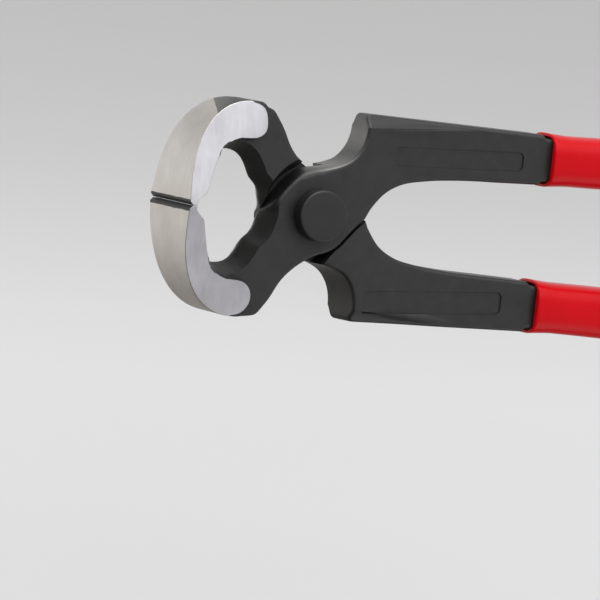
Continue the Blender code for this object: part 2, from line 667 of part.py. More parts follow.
def grip_sleeve():
    """The sleeve's outside: a rounded mouth, a slight waist behind it and a domed end."""
    half_lip, half_height, half_thick = GRIP_LIP_HEIGHT / 2, GRIP_HEIGHT / 2, GRIP_THICKNESS / 2
    sections = [sleeve_section(GRIP_START + along, half_lip - inset, half_thick - inset)
                for along, inset in GRIP_MOUTH]
    for along in np.linspace(TANG_TAPER_RUN / 3, GRIP_LENGTH - GRIP_DOME, 16):
        half = np.interp(along, [0.0, TANG_TAPER_RUN, GRIP_LENGTH / 2],
                         [half_lip, half_height - GRIP_WAIST, half_height])
        sections.append(sleeve_section(GRIP_START + along, half, half_thick))
    for angle in np.radians(np.linspace(14, 88, 6)):
        shrink = math.cos(angle) ** (2 / GRIP_FULLNESS)
        x = GRIP_END - GRIP_DOME * (1 - math.sin(angle))
        sections.append(sleeve_section(x, half_height * shrink, half_thick * shrink))
    return lofted_mesh("grip_sleeve", sections)


def grip_cavity():
    """The sleeve's inside: the tang with the fit's clearance all round, open at the mouth."""
    near = np.linspace(-FIT, TANG_TAPER_RUN, 3)
    stations = [*near, *np.linspace(2 * TANG_TAPER_RUN, GRIP_LENGTH - GRIP_END_WALL + FIT, 7)]
    sections = []
    for along in stations:
        x = GRIP_START + along
        half = float(tang_half_height(x))
        thick = np.interp(along, [0.0, TANG_TAPER_RUN], [HANDLE_HALF, TANG_THICKNESS / 2])
        loop = slot_loop(2 * (half + FIT), 2 * (thick + FIT), FORGED_EDGE, 2)
        sections.append(np.column_stack([np.full(len(loop), x), handle_centre(x) + loop[:, 0], loop[:, 1]]))
    return lofted_mesh("grip_cavity", sections)


def make_grip(name, sleeve, cavity, turn):
    grip = add_object(name, sleeve, turn=turn)
    cut(grip, cavity)
    return grip


def build():
    clear_scene()
    black = make_material("blackened forged steel", (0.030, 0.031, 0.033), 0.45, 0.6)
    bright = make_material("rivet steel, blackened", (0.035, 0.036, 0.038), 0.42, 0.6)
    red = make_material("red dipped plastic", (0.62, 0.012, 0.020), 0.35, 0.0)
    blank = lever_blank()
    blank.materials.append(black)
    cheek_start = (CHEEK_PANEL_START, HANDLE_SPREAD / 2 + CHEEK_PANEL_SHIFT, CHEEK_PANEL_CLIMB)
    lap_start = (LAP_PANEL_START, HANDLE_SPREAD / 2 + LAP_PANEL_SHIFT, LAP_PANEL_CLIMB)
    cutters = [lap_cutter(), bore_cutter(),
               panel_cutter("cheek_panel", cheek_start, CHEEK_PANEL_LENGTH, CHEEK_PANEL_HEIGHT, 1),
               panel_cutter("lap_panel", lap_start, LAP_PANEL_LENGTH, LAP_PANEL_HEIGHT, -1)]
    make_lever("front_lever", blank, cutters, 0.0)
    make_lever("rear_lever", blank, cutters, math.pi)
    make_rivet(bright)
    sleeve, cavity = grip_sleeve(), grip_cavity()
    sleeve.materials.append(red)
    make_grip("front_grip", sleeve, cavity, 0.0)
    make_grip("rear_grip", sleeve, cavity, math.pi)


build()
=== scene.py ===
"""Carpenter's pincers: two drop-forged levers with ground jaws, a pressed rivet and dip-moulded grips.

Everything is in the CAD's frame and in metres: the rivet stands on Z at X = Y = 0, the handles run to +X
and the jaws to -X.
"""

import bmesh
import bpy
import math
import numpy as np
from mathutils import Matrix, Vector


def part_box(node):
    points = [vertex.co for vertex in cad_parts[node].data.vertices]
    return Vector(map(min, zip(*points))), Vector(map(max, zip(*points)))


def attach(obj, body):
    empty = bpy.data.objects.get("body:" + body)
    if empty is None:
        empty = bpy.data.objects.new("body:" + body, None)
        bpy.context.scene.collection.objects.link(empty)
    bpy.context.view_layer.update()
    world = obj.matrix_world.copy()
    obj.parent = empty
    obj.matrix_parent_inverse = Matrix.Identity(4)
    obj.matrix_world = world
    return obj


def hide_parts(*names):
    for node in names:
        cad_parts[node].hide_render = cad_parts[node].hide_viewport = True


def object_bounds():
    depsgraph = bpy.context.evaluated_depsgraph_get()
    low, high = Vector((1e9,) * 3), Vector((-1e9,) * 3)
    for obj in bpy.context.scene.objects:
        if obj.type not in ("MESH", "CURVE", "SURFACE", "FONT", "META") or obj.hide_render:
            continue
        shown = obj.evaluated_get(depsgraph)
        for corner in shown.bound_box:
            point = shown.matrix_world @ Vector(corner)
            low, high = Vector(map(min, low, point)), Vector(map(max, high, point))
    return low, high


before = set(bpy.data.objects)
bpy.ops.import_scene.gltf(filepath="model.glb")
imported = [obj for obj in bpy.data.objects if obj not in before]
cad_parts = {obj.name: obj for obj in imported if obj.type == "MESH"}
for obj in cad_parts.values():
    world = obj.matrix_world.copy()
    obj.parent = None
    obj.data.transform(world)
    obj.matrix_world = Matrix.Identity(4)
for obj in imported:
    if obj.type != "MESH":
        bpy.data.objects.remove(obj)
cad_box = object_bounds()

# LEVERS
# Two drop forgings of one shape, one turned over on the other. The whole forging is blackened in a hot
# oxide bath, and the jaws are then ground bright: a band round the outside, the two side faces that end in
# a round lobe, and the bevel behind the edge.
middle_z = (cad_box[0].z + cad_box[1].z) / 2
weld_distance = 2e-6
softest_edge_degrees = 34

# The jaw's side faces: how far back they go, the longest edge in them, the reach of their smoothing, and
# the tilt of a flat one. A tilt is how far a face looks along Z, from 0 to 1.
jaw_back = -0.012
jaw_grid = 0.0016
jaw_blur = 0.0016
flat_face_tilt = 0.9

# The cutting edge in mm, as the front lever has it: its land, and the groove in front of the land, whose
# walls look at least this far towards the other jaw and are left black as painted shade
land_x_mm = (-34.9, -34.1)
land_deep_mm = 0.45
land_wider_mm = 0.6
land_closer_mm = 0.05
groove_front_mm = -33.5
groove_half_mm = 1.35
groove_facing = 0.3

# The ground areas in mm. The wheel left the two levers' outer bands at their own x and slant (1 is the front
# lever and -1 the rear one), and a wall is on the outside where it looks away from the jaw's middle. The
# loop's far corners lie well beyond the jaw, and behind the bevel's rear a wall is never ground.
lobe_radius_mm = 4.2
lobe_centre_mm = (-19.9, -21.0)
lobe_throat_mm = [(-28.9, -10.7), (-28.1, -13.1), (-27.3, -14.1), (-26.2, -15.1), (-24.6, -16.1),
                  (-22.8, -16.7)]
lobe_runout_mm = (-22.9, -28.2)
beyond_jaw_mm = 60.0
band_end_mm = {1: -23.0, -1: -26.6}
band_slant = {1: 0.0, -1: 0.34}
bevel_height_mm = 3.2
bevel_rear_mm = -24.0
never_ground_mm = 9.0
jaw_middle_mm = (-24.0, -6.0)
side_face_tilt = 0.45

# The painted sheen, paler metallic patches for reflections and highlights: beside the band on the crown, and
# two spots on the front lever, each with its x, y and size in mm and the steepest tilt of a wall they reach
sheen_length_mm = 4.5
sheen_top_mm = -12.0
highlight_spots_mm = ((3.5, 12.0, 6.0, 0.93), (11.0, 19.5, 4.0, 0.5))
highlight_lever = 1


def srgb(hex_code):
    """A colour written as sRGB hex, in the linear light that shaders use."""
    code = hex_code.lstrip("#")
    value = np.array([int(code[i:i + 2], 16) for i in (0, 2, 4)]) / 255
    linear = np.where(value <= 0.04045, value / 12.92, ((value + 0.055) / 1.055) ** 2.4)
    return (*linear, 1.0)


def add_node(tree, kind, inputs, **settings):
    """One shader node with its settings. Each input is a constant, or the output socket it is linked to.

    A Mix node's inputs go by number: 0 is the share, 2 and 3 are its two values, 4 and 5 its two vectors,
    and 6 and 7 its two colours. The outputs 0, 1 and 2 are the mixed value, vector and colour.
    """
    node = tree.nodes.new("ShaderNode" + kind)
    for name, value in settings.items():
        setattr(node, name, value)
    for name, value in inputs.items():
        if isinstance(value, bpy.types.NodeSocket):
            tree.links.new(value, node.inputs[name])
        else:
            node.inputs[name].default_value = value
    return node


def joined_copy(node, name):
    """A CAD node's loose triangles as one closed skin, with the jaw's long edges halved up to three times."""
    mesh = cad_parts[node].data.copy()
    mesh.name = name
    bm = bmesh.new()
    bm.from_mesh(mesh)
    bmesh.ops.remove_doubles(bm, verts=bm.verts, dist=weld_distance)
    bmesh.ops.dissolve_degenerate(bm, edges=bm.edges, dist=weld_distance / 2)
    for _ in range(3):
        long = [edge for edge in bm.edges if edge.calc_length() > jaw_grid
                and max(corner.co.x for corner in edge.verts) < jaw_back]
        bmesh.ops.subdivide_edges(bm, edges=long, cuts=1)
    bmesh.ops.triangulate(bm, faces=bm.faces)
    bm.to_mesh(mesh)
    bm.free()
    mesh.materials.clear()
    piece = bpy.data.objects.new(name, mesh)
    bpy.context.scene.collection.objects.link(piece)
    return piece


def mesh_values(items, name, width=1, kind=float):
    """One value for each item of a mesh as an array, or a row of width values for each."""
    values = np.zeros(len(items) * width, kind)
    items.foreach_get(name, values)
    return values.reshape(-1, width) if width > 1 else values


def hone_edge(mesh, side):
    """Moves the edge's land to 0.1 mm from the middle, and its rear rim back, so that it is 1.2 mm wide."""
    place = mesh_values(mesh.vertices, "co", 3)
    x, y = place[:, 0] * 1000, place[:, 1] * 1000 * side
    land = (x > land_x_mm[0]) & (x < land_x_mm[1]) & (y > -land_deep_mm)
    place[land, 1] += side * land_closer_mm / 1000
    place[land & (x > np.mean(land_x_mm)), 0] += land_wider_mm / 1000
    mesh.vertices.foreach_set("co", place.ravel())
    mesh.update()


def shade_forging(mesh):
    """Sets a normal on each face corner, so that flats stay flat beside soft edges and facets don't show.

    It is the mean of the normals of the faces round the corner that turn less than the softest edge from
    the corner's own face, each weighted by its area. On the jaw's side faces the mean is over all of
    them, weighted by area * exp(-(distance / blur)^2 / 2).
    """
    corner_count = len(mesh.loops)
    corner_face = np.repeat(np.arange(len(mesh.polygons)), 3)
    vertex = mesh_values(mesh.loops, "vertex_index", kind=np.int64)
    place = mesh_values(mesh.vertices, "co", 3)
    normal = mesh_values(mesh.polygons, "normal", 3)
    area = mesh_values(mesh.polygons, "area")

    # Each corner (here) meets every corner (there) that shares its vertex
    order = np.argsort(vertex, kind="stable")
    around = np.bincount(vertex, minlength=len(place))
    first = np.cumsum(around) - around
    here = np.repeat(np.arange(corner_count), around[vertex])
    step = np.arange(here.size) - np.repeat(np.cumsum(around[vertex]) - around[vertex], around[vertex])
    there = order[first[vertex[here]] + step]
    own, other = normal[corner_face[here]], normal[corner_face[there]]
    soft = (own * other).sum(axis=1) > math.cos(math.radians(softest_edge_degrees))
    weight = (area[corner_face[there]] * soft)[:, None] * other
    mean = np.stack([np.bincount(here, weight[:, axis], corner_count) for axis in range(3)], axis=1)

    centre = place[vertex.reshape(-1, 3)].mean(axis=1)
    for way in (1, -1):
        faces = np.flatnonzero((normal[:, 2] * way > flat_face_tilt) & (centre[:, 0] < jaw_back))
        corners = np.flatnonzero(np.isin(corner_face, faces))
        distance = np.linalg.norm(place[vertex[corners], None, :2] - centre[None, faces, :2], axis=-1)
        near = area[faces] * np.exp(-(distance / jaw_blur) ** 2 / 2)
        mean[corners] = near @ normal[faces]
    mean /= np.linalg.norm(mean, axis=1, keepdims=True)
    mesh.shade_smooth()
    mesh.normals_split_custom_set(mean.tolist())


def depth_in_loop(points, loop):
    """Distance of each point to a closed loop of straight pieces, above 0 inside it and below 0 outside.

    The distance is the least over the pieces of |p - nearest point of the piece|. The side follows from
    how many pieces a ray along +X crosses.
    """
    start, end = loop, np.roll(loop, -1, axis=0)
    run = end - start
    offset = points[:, None, :] - start[None]
    along = np.clip((offset * run).sum(-1) / (run * run).sum(-1), 0.0, 1.0)
    nearest = np.linalg.norm(offset - along[..., None] * run, axis=-1).min(axis=1)
    spans = (start[:, 1] > points[:, 1, None]) != (end[:, 1] > points[:, 1, None])
    rise = np.where(run[:, 1] == 0, 1.0, run[:, 1])
    cross = start[:, 0] + (points[:, 1, None] - start[:, 1]) / rise * run[:, 0]
    inside = (spans & (points[:, 0, None] < cross)).sum(axis=1) % 2 == 1
    return np.where(inside, nearest, -nearest)


def ground_face_loop():
    """The ground side face in plan, mm: down the blade, along the throat and round the lobe to the crown."""
    angle = np.radians(np.linspace(90, -90, 33))
    lobe = np.array(lobe_centre_mm) + lobe_radius_mm * np.column_stack([np.cos(angle), np.sin(angle)])
    front = lobe_throat_mm[0][0]
    far = [lobe_runout_mm, (-beyond_jaw_mm, lobe_runout_mm[1]), (-beyond_jaw_mm, beyond_jaw_mm),
           (front, beyond_jaw_mm)]
    return np.vstack([lobe_throat_mm, lobe, far])


def mark_ground(piece, side):
    """Writes two values on each face corner, which the material turns into the ground areas and a painted
    sheen.

    ground_depth is the depth in the ground area in mm: on side faces the depth in the lobe's loop, on the
    outer wall the distance to the band's slanted end or to the groove between the jaws, on the inner wall
    the distance under the bevel's top, and -1 on the groove's walls, which stay black as painted shade. The
    sheen value, a painted reflection, falls from 1 at the band's end to 0, and has two soft spots of painted
    highlight, exp(-(distance / size)^2), on the walls of the front lever's notch. Places and normals are
    turned over for the rear lever, so that both levers are marked as the front one.
    """
    mesh = piece.data
    place = (mesh_values(mesh.vertices, "co", 3) * 1000 - (0, 0, middle_z * 1000)) * (1, side, side)
    x, y, z = place[mesh_values(mesh.loops, "vertex_index", kind=np.int64)].T
    normal = np.repeat(mesh_values(mesh.polygons, "normal", 3) * (1, side, side), 3, axis=0)
    tilt = np.abs(normal[:, 2])
    is_side = tilt > side_face_tilt
    outward = (x - jaw_middle_mm[0]) * normal[:, 0] + (y - jaw_middle_mm[1]) * normal[:, 1] > 0

    on_side = depth_in_loop(np.column_stack([x, y]), ground_face_loop())
    beyond_band = x - band_end_mm[side] - band_slant[side] * z
    on_band = np.minimum(-beyond_band, np.abs(y) - groove_half_mm)
    on_bevel = bevel_height_mm - np.abs(y) - never_ground_mm * (x > bevel_rear_mm)
    depth = np.where(is_side, on_side, np.where(outward, on_band, on_bevel))
    # Painted shade: the groove's walls stay black, not bright steel
    at_groove = ~is_side & (np.abs(y) < groove_half_mm) & (x < groove_front_mm)
    depth = np.where(at_groove & (normal[:, 1] > groove_facing), -1.0, depth)

    # Painted sheen: a painted reflection on the crown beside the band, and painted highlights in two spots on
    # the front lever's notch walls
    on_crown = outward & ~is_side & (y < sheen_top_mm)
    painted_sheen = np.clip(1 - beyond_band / sheen_length_mm, 0, 1) * on_crown
    for spot_x, spot_y, size, steepest in highlight_spots_mm:
        spot = np.exp(-((x - spot_x) ** 2 + (y - spot_y) ** 2) / size ** 2)
        painted_sheen = np.maximum(painted_sheen, spot * (tilt < steepest) * (side == highlight_lever))
    for name, values in (("ground_depth", depth), ("painted_sheen", painted_sheen)):
        mesh.attributes.new(name, "FLOAT", "CORNER").data.foreach_set("value", values.astype(np.float32))


# Hot black oxide on a shot-blasted drop forging: a thin skin of magnetite sealed with oil, a neutral near
# black with a broad satin sheen over fine grit. The ground areas are bare tool steel, bright and soft, with
# streaks along the wheel's path; the outer band is painted a little warmer and paler than the side faces, as
# a painted reflection.
def blackened_forging():
    material = bpy.data.materials.new("black_oxide_forged_steel_ground_jaws")
    material.use_nodes = True
    tree = material.node_tree
    shader = tree.nodes["Principled BSDF"]
    coordinates = add_node(tree, "TexCoord", {}).outputs
    place = coordinates["Object"]
    depth = add_node(tree, "Attribute", {}, attribute_name="ground_depth").outputs["Fac"]
    painted_sheen = add_node(tree, "Attribute", {}, attribute_name="painted_sheen").outputs["Fac"]

    # The grinding ends in a line that wavers by 0.1 mm over 2.5 mm
    waver = add_node(tree, "TexNoise", {"Vector": place, "Scale": 400.0, "Detail": 3.0})
    line = add_node(tree, "Math", {0: waver.outputs["Fac"], 1: 0.35, 2: -0.175}, operation="MULTIPLY_ADD")
    edge = add_node(tree, "Math", {0: depth, 1: line.outputs[0]}, operation="ADD")
    ground = add_node(tree, "MapRange", {"Value": edge.outputs[0], "From Min": -0.07, "From Max": 0.07})
    ground = ground.outputs["Result"]

    # The black skin: grit of 0.25 mm, scale marks of 3 mm, and the painted sheen, which turns it paler and
    # metallic
    grit = add_node(tree, "TexNoise", {"Vector": place, "Scale": 4000.0, "Detail": 2.0, "Roughness": 0.6})
    marks = add_node(tree, "TexNoise", {"Vector": place, "Scale": 330.0, "Detail": 4.0, "Roughness": 0.55})
    skin = add_node(tree, "MapRange", {"Value": marks.outputs["Fac"], "From Min": 0.3, "From Max": 0.7})
    black = add_node(tree, "Mix", {0: skin.outputs["Result"], 6: srgb("#1c1c1c"), 7: srgb("#262625")},
                     data_type="RGBA")
    # Painted sheen: the black turns toward #9c9a98 and metallic where reflections and highlights are painted
    # in
    sheen_share = add_node(tree, "Math", {0: painted_sheen, 1: 0.50}, operation="MULTIPLY")
    black = add_node(tree, "Mix", {0: sheen_share.outputs[0], 6: black.outputs[2], 7: srgb("#9c9a98")},
                     data_type="RGBA")

    # Grinding streaks 1 mm wide and 15 mm long, with finer ones between them. The band and the side faces
    # get their own tones, told apart by how far a face looks along Z: a painted reflection, warm on the band
    # and lilac grey on the side faces.
    stretched = add_node(tree, "Mapping", {"Vector": place, "Scale": (14.0, 1.0, 14.0)})
    grain = add_node(tree, "TexNoise", {"Vector": stretched.outputs["Vector"], "Scale": 66.0, "Detail": 4.0,
                                        "Roughness": 0.6})
    cloud = add_node(tree, "TexNoise", {"Vector": place, "Scale": 130.0, "Detail": 3.0, "Roughness": 0.5})
    tone = add_node(tree, "Math", {0: grain.outputs["Fac"], 1: 0.6, 2: cloud.outputs["Fac"]},
                    operation="MULTIPLY_ADD")
    tone = add_node(tree, "MapRange", {"Value": tone.outputs[0], "From Min": 0.5, "From Max": 1.1})
    # Painted reflection: the band's tone is warmer and paler than the side faces' tone
    band = add_node(tree, "Mix", {0: tone.outputs["Result"], 6: srgb("#d5d0ca"), 7: srgb("#ebe7e2")},
                    data_type="RGBA")
    face = add_node(tree, "Mix", {0: tone.outputs["Result"], 6: srgb("#b3b2b5"), 7: srgb("#cdccd0")},
                    data_type="RGBA")
    facing = add_node(tree, "SeparateXYZ", {"Vector": coordinates["Normal"]})
    facing = add_node(tree, "Math", {0: facing.outputs["Z"]}, operation="ABSOLUTE")
    facing = add_node(tree, "MapRange", {"Value": facing.outputs[0], "From Min": 0.6, "From Max": 0.9})
    steel = add_node(tree, "Mix", {0: facing.outputs["Result"], 6: band.outputs[2], 7: face.outputs[2]},
                     data_type="RGBA")

    colour = add_node(tree, "Mix", {0: ground, 6: black.outputs[2], 7: steel.outputs[2]}, data_type="RGBA")
    metal = add_node(tree, "Math", {0: ground, 1: sheen_share.outputs[0]}, operation="MAXIMUM")
    black_rough = add_node(tree, "MapRange", {"Value": marks.outputs["Fac"], "To Min": 0.38, "To Max": 0.50})
    steel_rough = add_node(tree, "MapRange", {"Value": grain.outputs["Fac"], "To Min": 0.36, "To Max": 0.48})
    rough = add_node(tree, "Mix", {0: ground, 2: black_rough.outputs["Result"],
                                   3: steel_rough.outputs["Result"]})
    coarse = add_node(tree, "Bump", {"Strength": 0.25, "Distance": 0.00010, "Height": marks.outputs["Fac"]})
    fine = add_node(tree, "Bump", {"Strength": 0.30, "Distance": 0.00004, "Height": grit.outputs["Fac"],
                                   "Normal": coarse.outputs["Normal"]})
    brushed = add_node(tree, "Bump", {"Strength": 0.25, "Distance": 0.00005, "Height": grain.outputs["Fac"]})
    relief = add_node(tree, "Mix", {0: ground, 4: fine.outputs["Normal"], 5: brushed.outputs["Normal"]},
                      data_type="VECTOR")
    tree.links.new(colour.outputs[2], shader.inputs["Base Color"])
    tree.links.new(metal.outputs[0], shader.inputs["Metallic"])
    tree.links.new(rough.outputs[0], shader.inputs["Roughness"])
    tree.links.new(relief.outputs[1], shader.inputs["Normal"])
    return material


forging_material = blackened_forging()
for node, name, body, side in (("front_lever", "front_forging", "front_half", 1),
                               ("rear_lever", "rear_forging", "rear_half", -1)):
    forging = joined_copy(node, name)
    hone_edge(forging.data, side)
    mark_ground(forging, side)
    shade_forging(forging.data)
    forging.data.materials.append(forging_material)
    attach(forging, body)
    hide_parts(node)

# RIVET
# A turned steel pin, upset in the press to a flat head on each side and blackened with the tool. Its rim is
# broken by a small radius, and the face keeps faint rings from the die.
rivet_low, rivet_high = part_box("rivet")  # the CAD rivet's corners
rivet_head_radius = (rivet_high.x - rivet_low.x) / 2
rivet_pin_radius = 0.0045
rivet_head_height = 0.0035
rivet_rim = 0.0006
rivet_fillet = 0.0002
rivet_face_middle = 0.0006


def closed_skin(name, rings):
    """A closed mesh through rings of points (rings, points, 3): quads between rings and a cap on each end."""
    count, around = rings.shape[:2]
    index = np.arange(count * around).reshape(count, around)
    here, ahead = index[:-1], index[1:]
    quads = np.stack([here, np.roll(here, -1, axis=1), np.roll(ahead, -1, axis=1), ahead], axis=-1)
    faces = quads.reshape(-1, 4).tolist() + [index[0][::-1].tolist(), index[-1].tolist()]
    mesh = bpy.data.meshes.new(name)
    mesh.from_pydata(rings.reshape(-1, 3).tolist(), [], faces)
    bm = bmesh.new()
    bm.from_mesh(mesh)
    bmesh.ops.recalc_face_normals(bm, faces=bm.faces)
    bm.to_mesh(mesh)
    bm.free()
    mesh.shade_smooth()
    mesh.set_sharp_from_angle(angle=math.radians(softest_edge_degrees))
    piece = bpy.data.objects.new(name, mesh)
    bpy.context.scene.collection.objects.link(piece)
    return piece


def rivet_rings():
    """The rivet's profile (radius, height) turned about Z, from the low face to the high one.

    Each head is a face, a quarter-round rim, a wall and an under-side, and the pin joins the two heads.
    """
    turn = np.radians(np.linspace(90, 0, 9))
    under = rivet_high.z - rivet_head_height
    rim = np.column_stack([rivet_head_radius - rivet_rim * (1 - np.cos(turn)),
                           rivet_high.z - rivet_rim * (1 - np.sin(turn))])
    face = [(rivet_face_middle, rivet_high.z), (0.5 * rivet_head_radius, rivet_high.z)]
    wall = [(rivet_head_radius, under + rivet_fillet), (rivet_head_radius - rivet_fillet, under),
            (rivet_pin_radius + rivet_fillet, under), (rivet_pin_radius, under - rivet_fillet)]
    high_half = np.vstack([face, rim, wall])
    low_half = high_half * (1, -1) + (0, rivet_low.z + rivet_high.z)
    radius, height = np.vstack([low_half, high_half[::-1]]).T[:, :, None]
    around = np.linspace(0, 2 * math.pi, 96, endpoint=False)
    return np.stack([radius * np.cos(around), radius * np.sin(around), height + 0 * around], axis=-1)


# The same black oxide on pressed steel: smoother than the forging, with rings 0.7 mm apart from the die
def blackened_rivet():
    material = bpy.data.materials.new("black_oxide_pressed_steel")
    material.use_nodes = True
    tree = material.node_tree
    shader = tree.nodes["Principled BSDF"]
    place = add_node(tree, "TexCoord", {}).outputs["Object"]
    patches = add_node(tree, "TexNoise", {"Vector": place, "Scale": 260.0, "Detail": 4.0, "Roughness": 0.6})
    grit = add_node(tree, "TexNoise", {"Vector": place, "Scale": 4200.0, "Detail": 2.0})
    rings = add_node(tree, "TexWave", {"Vector": place, "Scale": 450.0, "Distortion": 0.8, "Detail": 1.0},
                     wave_type="RINGS", rings_direction="Z")
    colour = add_node(tree, "Mix", {0: patches.outputs["Fac"], 6: srgb("#181818"), 7: srgb("#212121")},
                      data_type="RGBA")
    rough = add_node(tree, "MapRange", {"Value": patches.outputs["Fac"], "To Min": 0.38, "To Max": 0.50})
    turned = add_node(tree, "Bump", {"Strength": 0.08, "Distance": 0.00003, "Height": rings.outputs["Fac"]})
    relief = add_node(tree, "Bump", {"Strength": 0.25, "Distance": 0.00004, "Height": grit.outputs["Fac"],
                                     "Normal": turned.outputs["Normal"]})
    tree.links.new(colour.outputs[2], shader.inputs["Base Color"])
    tree.links.new(rough.outputs["Result"], shader.inputs["Roughness"])
    tree.links.new(relief.outputs["Normal"], shader.inputs["Normal"])
    return material


rivet = closed_skin("pressed_rivet", rivet_rings())
rivet.data.materials.append(blackened_rivet())
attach(rivet, "front_half")
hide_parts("rivet")

# GRIPS
# Each tang is dipped in red liquid vinyl and cured to a thick skin with flat sides and round edges. The
# mouth has a low lip that stands square off the handle, and the far end is a full round drop of vinyl.
grip_low, grip_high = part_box("front_grip")
grip_set_back = 0.0012
grip_start = grip_low.x + grip_set_back
grip_length = grip_high.x - grip_start
grip_thickness = grip_high.z - grip_low.z

# The outside: the two centre lines' distance and bow, the height in the middle, at the lip and in the waist
# behind it, the lip's run and rounding, and the drop at the far end
grip_spread = 0.0356
grip_bow = 0.0010
grip_height = 0.0128
grip_lip_height = 0.0131
grip_waist = 0.0003
grip_lip_run = 0.0060
grip_lip_round = 0.0006
grip_dome = 0.0070
grip_end_wall = 0.0045
grip_fullness = 3.0

# The inside: the mouth, which is nearly square (its fullness is the n of the rings), its chamfer's depth and
# width, and the room for the tang
mouth_height = 0.0111
mouth_thickness = 0.0110
tang_room = 0.0094
mouth_fullness = 10.0
mouth_chamfer = (0.0004, 0.0003)


def grip_rings(side):
    """Rings |y/h|^n + |z/t|^n = 1 along the handle's centre line, spread/2 + bow * sin(pi * share)^2.

    They run from the drop's tip along the outside to the lip, over its round edge, square in to the
    mouth, and back inside to a blind end. The drop narrows by cos(a)^(2/n) while x falls by 1 - sin(a).
    """
    drop = np.radians(np.linspace(89.5, 0, 20))
    shrink = np.cos(drop) ** (2 / grip_fullness)
    outside = np.linspace(grip_length - grip_dome, grip_lip_round, 70)[1:]
    edge = np.radians(np.linspace(0, 90, 7))[1:]
    inset = grip_lip_round * (1 - np.cos(edge))
    inside = np.linspace(mouth_chamfer[0], grip_length - grip_end_wall, 16)
    body = np.interp(outside, [0.0, grip_lip_run, grip_length / 2],
                     [grip_lip_height, grip_height - 2 * grip_waist, grip_height]) / 2
    inner = np.interp(inside, [0.0, grip_lip_run], [mouth_height, tang_room]) / 2
    inner_thick = np.interp(inside, [0.0, grip_lip_run], [mouth_thickness, tang_room]) / 2
    x = np.concatenate([grip_length - grip_dome * (1 - np.sin(drop)), outside,
                        grip_lip_round * (1 - np.sin(edge)), [0.0], inside])
    h = np.concatenate([grip_height / 2 * shrink, body, grip_lip_height / 2 - inset,
                        [mouth_height / 2 + mouth_chamfer[1]], inner])
    t = np.concatenate([grip_thickness / 2 * shrink, np.full(outside.size, grip_thickness / 2),
                        grip_thickness / 2 - inset, [mouth_thickness / 2 + mouth_chamfer[1]], inner_thick])
    n = np.concatenate([np.full(x.size - inside.size - 1, grip_fullness),
                        np.full(inside.size + 1, mouth_fullness)])
    x, h, t, n = (values[:, None] for values in (x, h, t, n))
    around = np.linspace(0, 2 * math.pi, 72, endpoint=False)
    y = h * np.sign(np.cos(around)) * np.abs(np.cos(around)) ** (2 / n)
    z = t * np.sign(np.sin(around)) * np.abs(np.sin(around)) ** (2 / n)
    centre = grip_spread / 2 + grip_bow * np.sin(math.pi * np.clip(x / grip_length, 0, 1)) ** 2
    return np.stack([grip_start + x + 0 * y, side * (centre + y), middle_z + side * z], axis=-1)


# Dip-moulded plasticised PVC: a saturated red, even all over, with a soft gloss and the faint orange peel of
# a cured dip
def dipped_vinyl():
    material = bpy.data.materials.new("red_dip_moulded_pvc")
    material.use_nodes = True
    tree = material.node_tree
    shader = tree.nodes["Principled BSDF"]
    place = add_node(tree, "TexCoord", {}).outputs["Object"]
    flow = add_node(tree, "TexNoise", {"Vector": place, "Scale": 90.0, "Detail": 2.0, "Roughness": 0.5})
    peel = add_node(tree, "TexNoise", {"Vector": place, "Scale": 700.0, "Detail": 2.0, "Roughness": 0.5})
    dust = add_node(tree, "TexNoise", {"Vector": place, "Scale": 2600.0, "Detail": 3.0, "Roughness": 0.7})
    colour = add_node(tree, "Mix", {0: flow.outputs["Fac"], 6: srgb("#d00410"), 7: srgb("#e00719")},
                      data_type="RGBA")
    gloss = add_node(tree, "Math", {0: flow.outputs["Fac"], 1: dust.outputs["Fac"]}, operation="MULTIPLY")
    rough = add_node(tree, "MapRange", {"Value": gloss.outputs[0], "From Min": 0.1, "From Max": 0.45,
                                        "To Min": 0.26, "To Max": 0.38})
    relief = add_node(tree, "Bump", {"Strength": 0.16, "Distance": 0.00012, "Height": peel.outputs["Fac"]})
    shader.inputs["IOR"].default_value = 1.53
    shader.inputs["Specular IOR Level"].default_value = 0.15
    shader.inputs["Subsurface Weight"].default_value = 0.04
    shader.inputs["Subsurface Radius"].default_value = (0.0012, 0.0003, 0.0002)
    tree.links.new(colour.outputs[2], shader.inputs["Base Color"])
    tree.links.new(rough.outputs["Result"], shader.inputs["Roughness"])
    tree.links.new(relief.outputs["Normal"], shader.inputs["Normal"])
    return material


vinyl = dipped_vinyl()
for node, name, body, side in (("front_grip", "front_dipped_grip", "front_half", 1),
                               ("rear_grip", "rear_dipped_grip", "rear_half", -1)):
    grip = closed_skin(name, grip_rings(side))
    grip.data.materials.append(vinyl)
    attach(grip, body)
    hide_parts(node)

# STUDIO
# A pale grey sheet well below the tool, which keeps its soft shadow, lit by three diffusers and an even grey
# room, under a painted glow. The tool is seen from beside its jaws and above.
floor_drop = 0.16
sheet_half = 2.5


def pale_sheet():
    """A flat square grid of 2 by 2 faces under the tool."""
    steps = np.linspace(-sheet_half, sheet_half, 3)
    x, y = np.meshgrid(steps, steps)
    points = np.column_stack([x.ravel(), y.ravel(), np.full(x.size, cad_box[0].z - floor_drop)])
    row, column = np.meshgrid([0, 1], [0, 1])
    first = (row * 3 + column).reshape(-1, 1)
    mesh = bpy.data.meshes.new("pale_sheet")
    mesh.from_pydata(points.tolist(), [], (first + [0, 1, 4, 3]).tolist())
    sheet = bpy.data.objects.new("pale_sheet", mesh)
    bpy.context.scene.collection.objects.link(sheet)
    return sheet


def shown_rays(tree):
    """1 on the rays by which the camera, a reflection or glass sees the background, and 0 on the others."""
    path = add_node(tree, "LightPath", {}).outputs
    shown = add_node(tree, "Math", {0: path["Is Camera Ray"], 1: path["Is Glossy Ray"]}, operation="MAXIMUM")
    return add_node(tree, "Math", {0: shown.outputs[0], 1: path["Is Transmission Ray"]}, operation="MAXIMUM")


